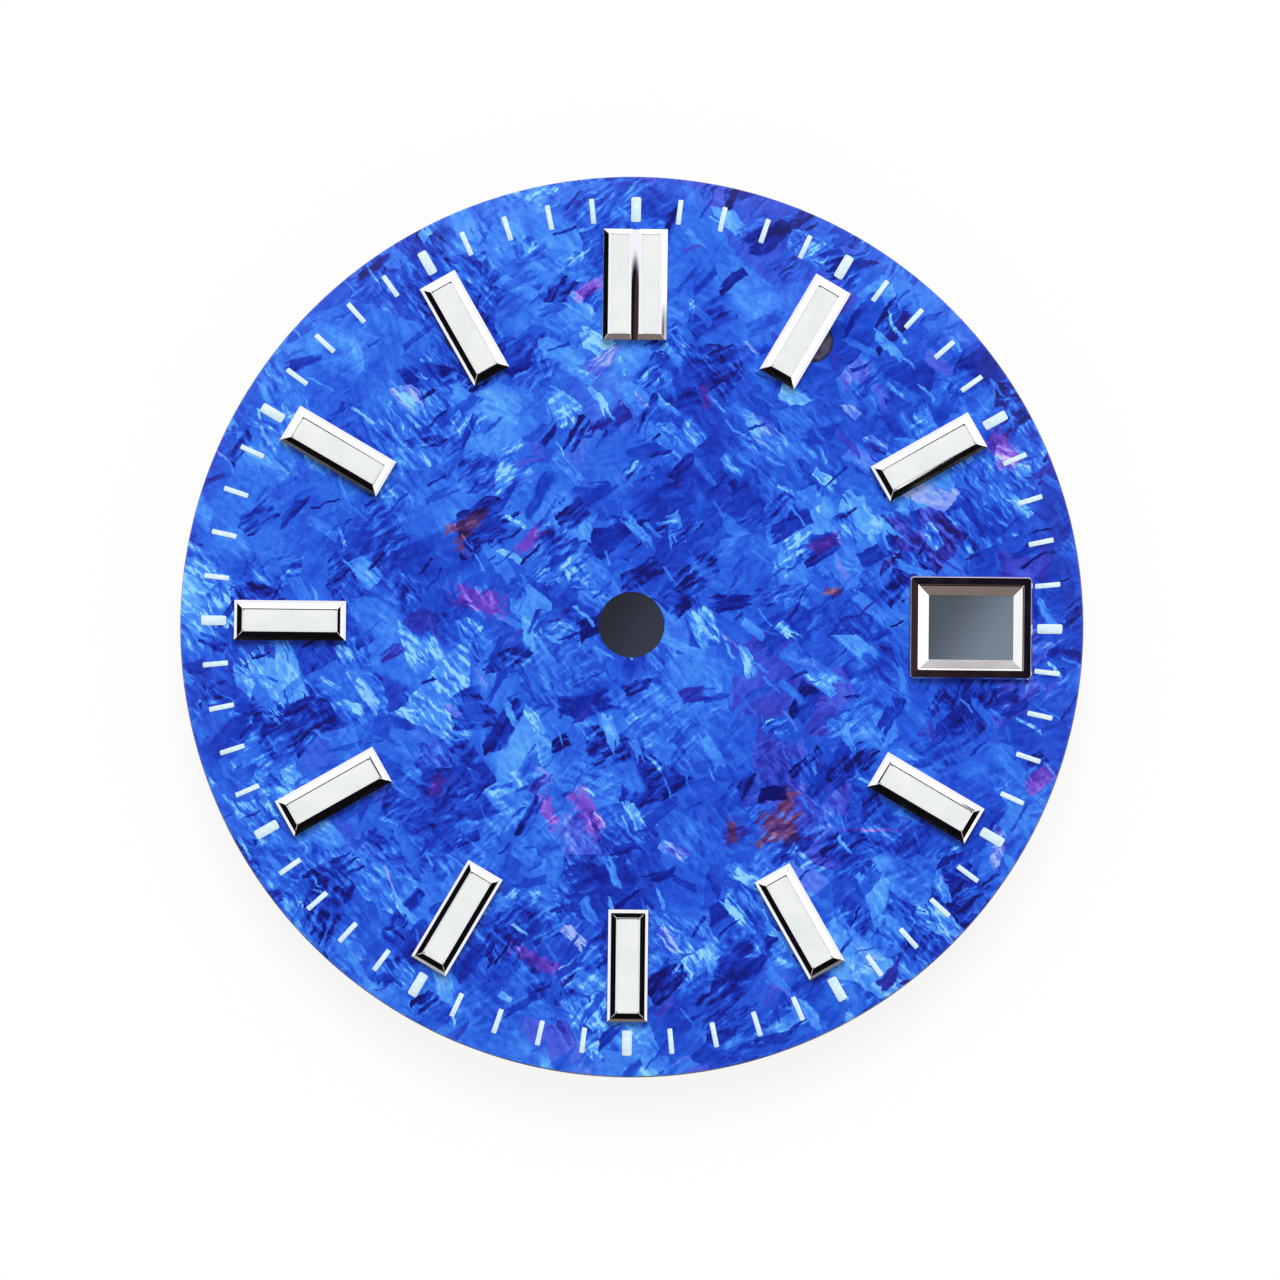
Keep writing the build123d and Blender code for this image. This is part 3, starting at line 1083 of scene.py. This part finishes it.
def windowCutter(mesh, bottom, top):
    grow = 2 * (dateFrame["skirtWall"] + plates["skirtGap"])
    width = dateFrame["windowWidth"] + grow
    height = dateFrame["windowHeight"] + grow
    left = frameMiddle.x - width / 2
    right = frameMiddle.x + width / 2
    corner = dateFrame["tightCorner"] * 2 + plates["skirtGap"]
    block(mesh, [outline(mesh, left, right, -height / 2, height / 2, z, corner) for z in (bottom, top)])


def seatedCutter(radius, low, high):
    # a post's hole with the seat of its adhesive at the back
    p = plates
    hole = radius + p["postGap"]
    seat = radius + dot["lip"] + p["dotGap"]
    floor = dot["thickness"]
    mesh = bmesh.new()
    profile = [(0, low), (seat, low), (seat, floor), (hole, floor), (hole, high), (0, high)]
    lathe(mesh, profile, p["postSteps"])
    return mesh


def plateCutter(footHole, seats):
    # every opening of one plate as closed shapes in a single mesh
    p = plates
    mesh = bmesh.new()
    low, high = -p["overrun"], faceTop + p["overrun"]
    addPin(mesh, p["holeRadius"], low, high, segments=p["holeSteps"])
    windowCutter(mesh, low, high)
    for place, radius in postPlaces():
        spot = place.translation
        if seats:
            copies(seatedCutter(radius, low, high), [Matrix.Translation(spot)], mesh)
        else:
            addPin(mesh, radius + p["postGap"], low, high, spot.x, spot.y, p["postSteps"])
    for hour in footHours:
        spot = footPlace(hour).translation
        addPin(mesh, footHole, low, high, spot.x, spot.y, p["footSteps"])
    bmesh.ops.recalc_face_normals(mesh, faces=mesh.faces)
    return bpy.data.objects.new("cutter", toData("cutter", mesh))


def makePlate(name, node, slot, radius, heights, edge, cutter):
    # edge is the height of the rim that is rounded, and its width
    p = plates
    mesh = bmesh.new()
    addPin(mesh, radius, *heights, segments=p["rimSteps"])
    height, width = edge
    rim = [e for e in sharpEdges(mesh, p["rimAngle"])
           if all(abs(v.co.z - height) < meshing["near"] for v in e.verts)]
    softenEdges(mesh, rim, width, p["edgeSteps"])
    bmesh.ops.recalc_face_normals(mesh, faces=mesh.faces)
    blank = bpy.data.objects.new(name + "Blank", toData(name + "Blank", mesh))
    for thing in (blank, cutter):
        scene.collection.objects.link(thing)
    cut = blank.modifiers.new("cut", "BOOLEAN")
    cut.object = cutter
    cut.solver = "EXACT"
    bpy.context.view_layer.update()
    done = blank.evaluated_get(bpy.context.evaluated_depsgraph_get())
    whole = bmesh.new()
    whole.from_mesh(bpy.data.meshes.new_from_object(done))
    for thing in (blank, cutter):
        bpy.data.objects.remove(thing)
    toPiece(name, node, slot, whole, p["smooth"])


makePlate("flake_sheet", "flake_face", "flake_face", sheetRadius, (baseTop, faceTop),
          (faceTop, plates["sheetEdge"]), plateCutter(foot["headRadius"] + plates["footGap"], False))
makePlate("brass_disc", "base_plate", "brass_blank", dialRadius, (0.0, baseTop),
          (0.0, plates["baseEdge"]), plateCutter(foot["seatRadius"] + plates["seatGap"], True))
print("plates made")


# Studio: a white floor, soft light from the twelve side, and white cards that the metal mirrors
white = (1, 1, 1, 1)
studio = {
    "floorHeight": -1.9,
    "floorReach": 150.0,
    "floorGlow": 0.87,
    "skyLevel": 0.50,
    "keyShare": 0.50,
    "keyHeight": 60.0,
    "keySoftness": 32.0,
}
cards = {
    # outlines in mm, and the level of their light
    "topCard": [(-42, 24, 1), (20, 24, 1), (20, 24, 26), (12, 24, 24.5), (2.5, 24, 15), (1.5, 24, 12.5),
                (-1.5, 24, 12.5), (-2.5, 24, 15), (-12, 24, 24.5), (-28, 24, 28), (-42, 24, 28)],
    "rightCard": [(21, -5, 1), (21, 25, 1), (21, 25, 24), (21, 12, 19), (21, 8, 17), (21, -5, 17)],
    "sideCard": [(21, -14, 15), (21, -6, 15), (21, -6, 24), (21, -14, 24)],
    "level": 1.45,
    # the right card's light: low down only at its far end, and a dim gap higher up
    "lowHeight": (2.6, 3.4),
    "lowStart": (11.5, 14.5),
    "gapStart": (7.0, 8.5),
    "gapEnd": (11.9, 13.2),
    "gapLevel": 0.12,
    "highStart": (9.0, 10.5),
}


def cardFinish(name):
    material, g = blankFinish(name)
    colour = (cards["level"],) * 3 + (1,)
    if name == "rightCard":
        place = g.parts(g.point())
        share = g.soften(place[2], *cards["lowHeight"]).largest(g.soften(place[1], *cards["lowStart"]))
        gap = g.soften(place[1], *cards["gapEnd"]) + g.soften(place[1], *cards["gapStart"], 1.0, 0.0)
        high = g.soften(place[2], *cards["highStart"])
        share = share * (1 - high * (1 - gap.largest(cards["gapLevel"])))
        colour = g.blend(share, (0, 0, 0, 1), colour)
    g.surface(g.node("ShaderNodeEmission", {}, {"Color": colour, "Strength": 1.0})[0])
    return material


def makeCard(name):
    # a flat white card, seen only in reflections
    mesh = bmesh.new()
    mesh.faces.new([mesh.verts.new(corner) for corner in cards[name]])
    card = toObject(name, mesh, cardFinish(name))
    card.visible_camera = False
    card.visible_diffuse = False
    card.visible_shadow = False


for name in ("topCard", "rightCard", "sideCard"):
    makeCard(name)


def makeFloor():
    # white, with a share of its own light towards the camera so that shadows stay faint
    material, g = blankFinish("floorFinish")
    ray = g.node("ShaderNodeLightPath")
    g.glowing(white, ray["Is Camera Ray"] * studio["floorGlow"])
    mesh = bmesh.new()
    place = Matrix.Translation((0, 0, studio["floorHeight"]))
    bmesh.ops.create_grid(mesh, x_segments=1, y_segments=1, size=studio["floorReach"], matrix=place)
    floor = toObject("floor", mesh, material)


shadePatches = {
    # painted shade: grey spots in mm that stand for the shaded floor seen through the centre hole and the
    # date window, each a painted gradient from a darker to a lighter grey along a slant
    "holeShadeSpot": dict(x=0.0, radius=1.3, dark=(44, 46, 56), light=(56, 60, 74)),
    "windowShadeSpot": dict(x=frameMiddle.x, radius=2.0, dark=(80, 88, 98), light=(120, 133, 149)),
    "drop": 0.05,
    "slant": 0.6,
    "reach": 0.7,
    "ownShare": 0.95,
    "steps": 48,
}


def makeShadePatch(name, x, radius, dark, light):
    # a glowing disc of painted shade just behind the dial, seen through an opening, kept even by its own
    # glow
    p = shadePatches
    material, g = blankFinish(name + "Finish")
    place = g.parts(g.point())
    # painted shading: darker to lighter along a slant, as if light fell in from one side
    slant = place[0] - x - place[1] * p["slant"]
    reach = radius * p["reach"]
    # most of the painted shade glows as its own light, so it looks the same under any lamp
    g.glowing(g.blend(g.soften(slant, -reach, reach), rgb(*dark), rgb(*light)), p["ownShare"])
    mesh = bmesh.new()
    place = Matrix.Translation((x, 0, -p["drop"]))
    bmesh.ops.create_circle(mesh, cap_ends=True, segments=p["steps"], radius=radius, matrix=place)
    patch = toObject(name, mesh, material)


makeFloor()
for name in ("holeShadeSpot", "windowShadeSpot"):
    makeShadePatch(name, **shadePatches[name])


sky = {
    # what polished metal mirrors, by direction
    "overheadWarm": (0.058, 0.032, 0.028, 1),
    "overheadCool": (0.008, 0.006, 0.014, 1),
    "dark": (0.004, 0.004, 0.005, 1),
    "behind": (0.24, 0.19, 0.17, 1),
    "ahead": (0.56, 0.56, 0.58, 1),
    "edge": (1.08, 1.08, 1.12, 1),
    "side": (1.10, 1.11, 1.12, 1),
    # where one fades into the next: shares of a direction upwards, forwards or sideways
    "ringUp": (0.60, 0.66),
    "haloUp": (0.8175, 0.8315),
    "haloLean": 0.0595,
    "overheadUp": (0.89, 0.97),
    "overheadTilt": 0.075,
    "overheadLean": 0.4,
    "overheadSplit": (-0.035, 0.035),
    "endsForward": (-0.3, 0.3),
    "edgeForward": (-0.78, -0.60),
    "sideways": (0.35, 0.75),
    "lowSplit": (0.3, 0.9),
    "lowUp": (0.05, 0.2),
    "least": 1e-6,
}


def makeWorld():
    # even light for the dial, the pattern above for what metal mirrors, and white for the camera
    s = sky
    world = bpy.data.worlds.new("studio")
    world.use_nodes = True
    scene.world = world
    g = Graph(world.node_tree)
    ray = g.node("ShaderNodeLightPath")
    way = g.parts(g.node("ShaderNodeTexCoord")["Generated"])
    up = way[2]
    flat = (way[0] * way[0] + way[1] * way[1] + s["least"]).sum("SQRT")
    forward = way[1] / flat
    lean = way[0] + (way[1] - s["overheadTilt"]) * s["overheadLean"]
    overhead = g.blend(g.soften(lean, *s["overheadSplit"]), s["overheadWarm"], s["overheadCool"])
    ends = g.blend(g.soften(forward, *s["endsForward"]), s["behind"], s["ahead"])
    ring = g.blend(g.soften(abs(way[0]) / flat, *s["sideways"]), ends, s["side"])
    halo = g.blend(g.soften(forward, *s["edgeForward"]), s["dark"], s["edge"])
    ring = g.blend(g.soften(up + forward * s["haloLean"], *s["haloUp"]), ring, halo)
    low = g.blend(g.soften(way[0] + way[1], *s["lowSplit"]), s["dark"], white)
    low = g.blend(g.soften(up, *s["lowUp"]), low, s["dark"])
    seen = g.blend(g.soften(up, *s["ringUp"]), low, ring)
    seen = g.blend(g.soften(up, *s["overheadUp"]), seen, overhead)
    level = studio["skyLevel"]
    colour = g.blend(ray["Is Glossy Ray"], (level, level, level, 1), seen)
    colour = g.blend(ray["Is Camera Ray"], colour, white)
    back = g.node("ShaderNodeBackground", {}, {"Color": colour, "Strength": 1.0})
    g.node("ShaderNodeOutputWorld", {}, {"Surface": back[0]})


makeWorld()


def makeKey():
    # one broad soft lamp, high on the twelve side
    lamp = bpy.data.lights.new("key", "SUN")
    lift = math.radians(studio["keyHeight"])
    lamp.energy = studio["keyShare"] * math.pi / math.sin(lift)
    lamp.angle = math.radians(studio["keySoftness"])
    key = bpy.data.objects.new("key", lamp)
    key.rotation_euler = Vector((0, math.cos(lift), math.sin(lift))).to_track_quat("Z", "Y").to_euler()
    key.visible_glossy = False
    scene.collection.objects.link(key)


makeKey()
print("studio made")


# Camera: far off, almost straight above, a little on the six side
camera = {
    "distance": 252.8,
    "lens": 225.0,
    "tilt": -4.3,
    "turn": -0.41,
    "roll": -0.61,
    "shiftX": -0.262,
    "shiftY": 0.44,
    "clip": (0.01, 10.0),
}


def makeCamera():
    c = camera
    data = bpy.data.cameras.new("camera")
    data.lens = c["lens"]
    data.clip_start, data.clip_end = c["clip"]
    spin = Vector((c["tilt"], c["turn"], c["roll"]))
    turned = Matrix.Rotation(math.radians(spin.length), 4, spin.normalized()).transposed()
    place = turned @ Matrix.Translation(Vector((-c["shiftX"], -c["shiftY"], c["distance"])) * mm)
    eye = bpy.data.objects.new("camera", data)
    eye.matrix_world = place
    scene.collection.objects.link(eye)
    scene.camera = eye


makeCamera()
scene.view_settings.view_transform = "Standard"
print("camera made")
